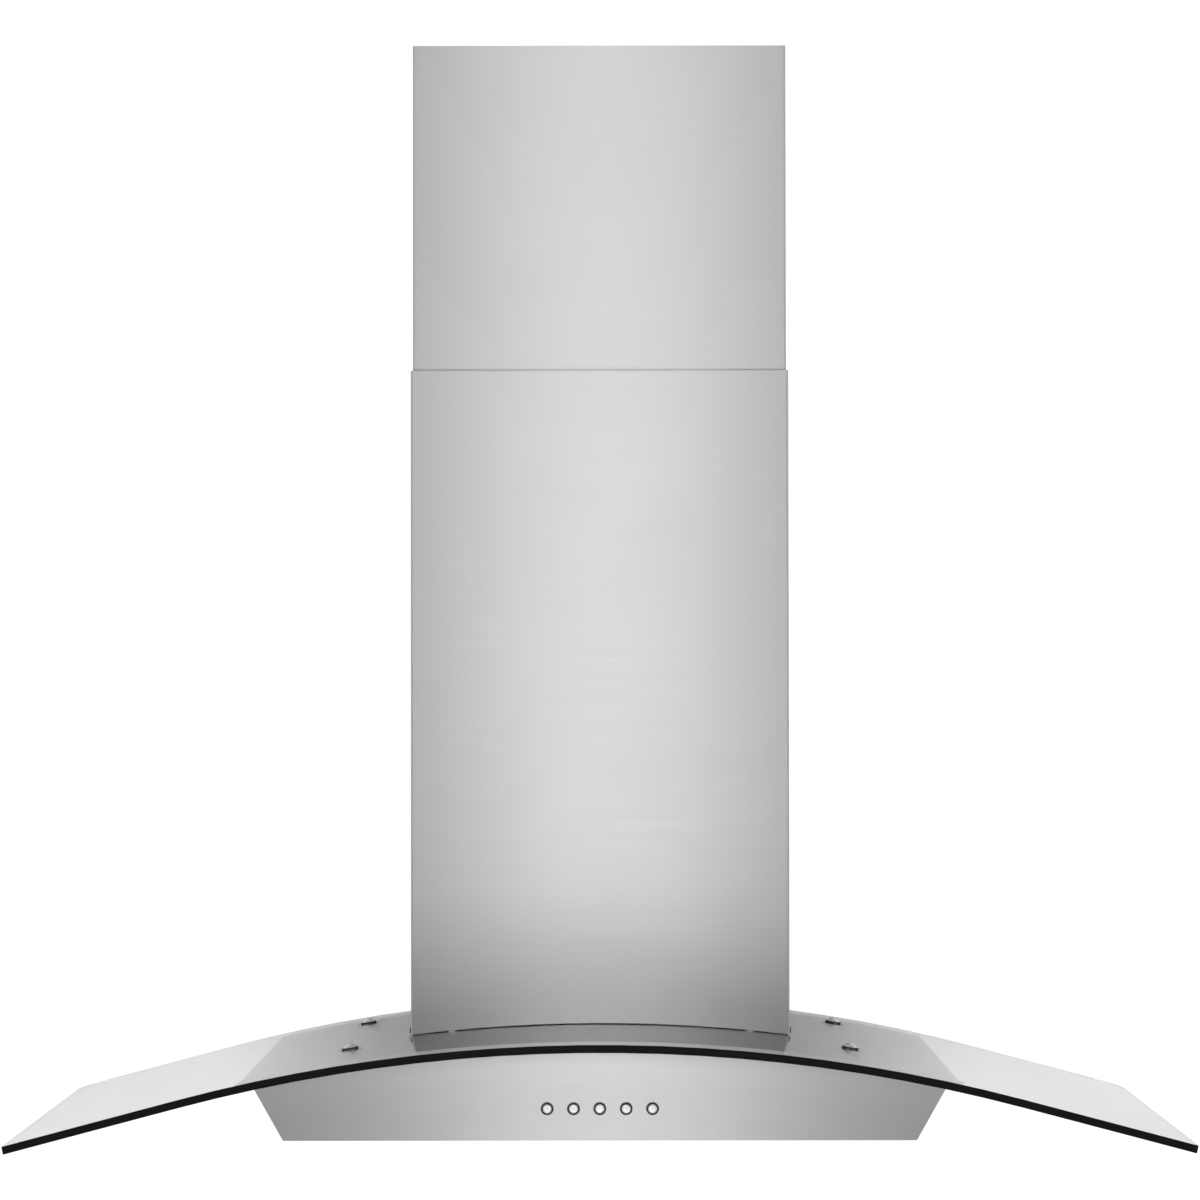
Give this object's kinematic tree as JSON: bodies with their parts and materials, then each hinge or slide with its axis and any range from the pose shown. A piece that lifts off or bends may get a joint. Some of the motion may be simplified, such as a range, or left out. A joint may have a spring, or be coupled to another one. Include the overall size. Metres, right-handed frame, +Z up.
{
  "type": "wall-mounted range hood",
  "caption": "Wall-mounted range hood: curved glass canopy over a slim brushed steel body with push buttons, under a telescoping duct cover.",
  "frame": {"origin": "on the wall plane, in the middle of the hood, at the height of the top of the glass at its crown", "axes": "+X to the right seen from the front, +Y into the wall, +Z up"},
  "size_m": [0.898, 0.5, 0.8641],
  "materials": {
    "canopy_glass": "clear toughened glass with a ground edge",
    "lens_glass": "frosted glass",
    "brushed_panel": "brushed along X",
    "brushed_plate": "brushed along X",
    "brushed_cover": "brushed along X",
    "galvanised": "galvanised sheet",
    "bright_steel": "bright plated",
    "button_steel": "satin plated",
    "spring_steel": "spring strip",
    "rubber": "black",
    "filter_aluminium": "satin",
    "painted_steel": "satin black",
    "black_plastic": "matt",
    "grey_plastic": "matt",
    "pale_plastic": "semi-gloss",
    "circuit_board": "lacquered board"
  },
  "bodies": {
    "root": {"back_panel": "galvanised", "blower_housing": "galvanised", "blower_motor": "painted_steel", "bottom_panel": "brushed_panel", "button_bezels": "black_plastic", "cable_inlet_gland": "black_plastic", "capacitor_clamp": "galvanised", "collar_gasket": "rubber", "collar_screws": "bright_steel", "control_board": "circuit_board", "cover_bracket": "galvanised", "flap_rod": "bright_steel", "front_panel": "brushed_panel", "glass_canopy": "canopy_glass", "glass_pads": "rubber", "glass_screw_nuts": "bright_steel", "glass_screw_washers": "rubber", "glass_screws": "bright_steel", "housing_screws": "bright_steel", "lamp_boards": "circuit_board", "lamp_housings": "painted_steel", "lamp_lenses": "lens_glass", "lamp_trim_rings": "bright_steel", "left_side_panel": "brushed_panel", "lower_cover_screws": "bright_steel", "lower_duct_cover": "brushed_cover", "motor_bracket": "galvanised", "motor_bracket_screws": "bright_steel", "motor_capacitor": "pale_plastic", "outlet_collar": "galvanised", "right_side_panel": "brushed_panel", "scroll_left_half": "grey_plastic", "scroll_right_half": "grey_plastic", "switch_block": "black_plastic", "terminal_block": "pale_plastic", "terminal_box": "black_plastic", "terminal_box_cover": "black_plastic", "top_plate": "brushed_plate"},
    "upper_cover": {"upper_duct_cover": "brushed_cover", "upper_wall_bracket": "galvanised", "upper_cover_screws": "bright_steel"},
    "left_filter": {"left_filter_frame": "filter_aluminium", "left_filter_mesh": "filter_aluminium", "left_filter_clip": "spring_steel", "left_filter_handle": "filter_aluminium"},
    "right_filter": {"right_filter_frame": "filter_aluminium", "right_filter_mesh": "filter_aluminium", "right_filter_clip": "spring_steel", "right_filter_handle": "filter_aluminium"},
    "rotor": {"impeller": "grey_plastic", "motor_shaft": "bright_steel"},
    "front_flap": {"front_damper_flap": "galvanised"},
    "rear_flap": {"rear_damper_flap": "galvanised"},
    "light_button": {"light_button": "button_steel"},
    "fan_off_button": {"fan_off_button": "button_steel"},
    "low_speed_button": {"low_speed_button": "button_steel"},
    "medium_speed_button": {"medium_speed_button": "button_steel"},
    "high_speed_button": {"high_speed_button": "button_steel"}
  },
  "joints": [
    {"name": "upper_cover_slide", "type": "slide", "parent": "root", "child": "upper_cover", "axis": [0, 0, 1], "range_m": [-0.22, 0.18]},
    {"name": "left_filter_tilt", "type": "hinge", "parent": "root", "child": "left_filter", "pos_m": [-0.116, -0.059, -0.0737], "axis": [1, 0, 0], "range_deg": [0, 60], "deforming": ["left_filter_clip"]},
    {"name": "right_filter_tilt", "type": "hinge", "parent": "root", "child": "right_filter", "pos_m": [0.116, -0.059, -0.0737], "axis": [1, 0, 0], "range_deg": [0, 60], "deforming": ["right_filter_clip"]},
    {"name": "impeller_spin", "type": "hinge", "parent": "root", "child": "rotor", "pos_m": [0, -0.146, 0.081], "axis": [1, 0, 0], "continuous": true},
    {"name": "front_flap_hinge", "type": "hinge", "parent": "root", "child": "front_flap", "pos_m": [0, -0.09, 0.2], "axis": [-1, 0, 0], "range_deg": [0, 75]},
    {"name": "rear_flap_hinge", "type": "hinge", "parent": "root", "child": "rear_flap", "pos_m": [0, -0.09, 0.2], "axis": [1, 0, 0], "range_deg": [0, 75]},
    {"name": "light_button_press", "type": "slide", "parent": "root", "child": "light_button", "axis": [0, 1, 0], "range_m": [0, 0.0025], "stiffness_N_per_m": 600, "springref_m": -0.001},
    {"name": "fan_off_button_press", "type": "slide", "parent": "root", "child": "fan_off_button", "axis": [0, 1, 0], "range_m": [0, 0.0025], "stiffness_N_per_m": 600, "springref_m": -0.001},
    {"name": "low_speed_button_press", "type": "slide", "parent": "root", "child": "low_speed_button", "axis": [0, 1, 0], "range_m": [0, 0.0025], "stiffness_N_per_m": 600, "springref_m": -0.001},
    {"name": "medium_speed_button_press", "type": "slide", "parent": "root", "child": "medium_speed_button", "axis": [0, 1, 0], "range_m": [0, 0.0025], "stiffness_N_per_m": 600, "springref_m": -0.001},
    {"name": "high_speed_button_press", "type": "slide", "parent": "root", "child": "high_speed_button", "axis": [0, 1, 0], "range_m": [0, 0.0025], "stiffness_N_per_m": 600, "springref_m": -0.001}
  ]
}
